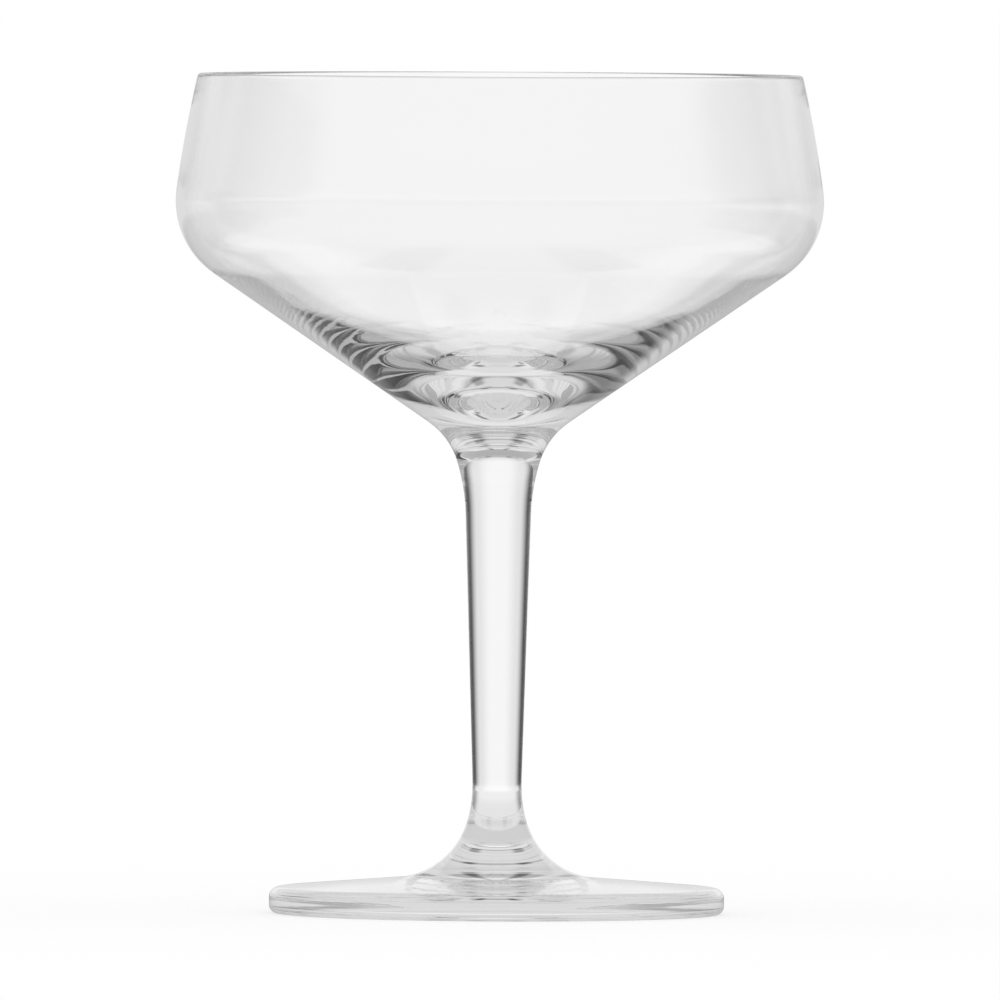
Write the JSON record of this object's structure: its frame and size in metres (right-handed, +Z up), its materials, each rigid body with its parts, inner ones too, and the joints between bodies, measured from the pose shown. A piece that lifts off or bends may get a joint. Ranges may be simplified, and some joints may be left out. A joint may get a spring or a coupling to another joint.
{
  "type": "coupe glass",
  "caption": "Clear stemmed coupe glass: a wide bowl with a leaning wall and a conical lower half, on a slender tapered stem and a round foot; holds a cocktail or sparkling wine.",
  "frame": {"origin": "centre of the ring that the foot stands on, at table level, on the axis of the stem", "axes": "+Z up along the stem towards the rim; X and Y are free, because every piece is turned about Z"},
  "size_m": [0.102, 0.102, 0.1321],
  "materials": {
    "clear_glass": "fire-polished clear glass"
  },
  "bodies": {
    "root": {"bowl": "clear_glass", "stem": "clear_glass", "foot": "clear_glass"}
  },
  "joints": []
}
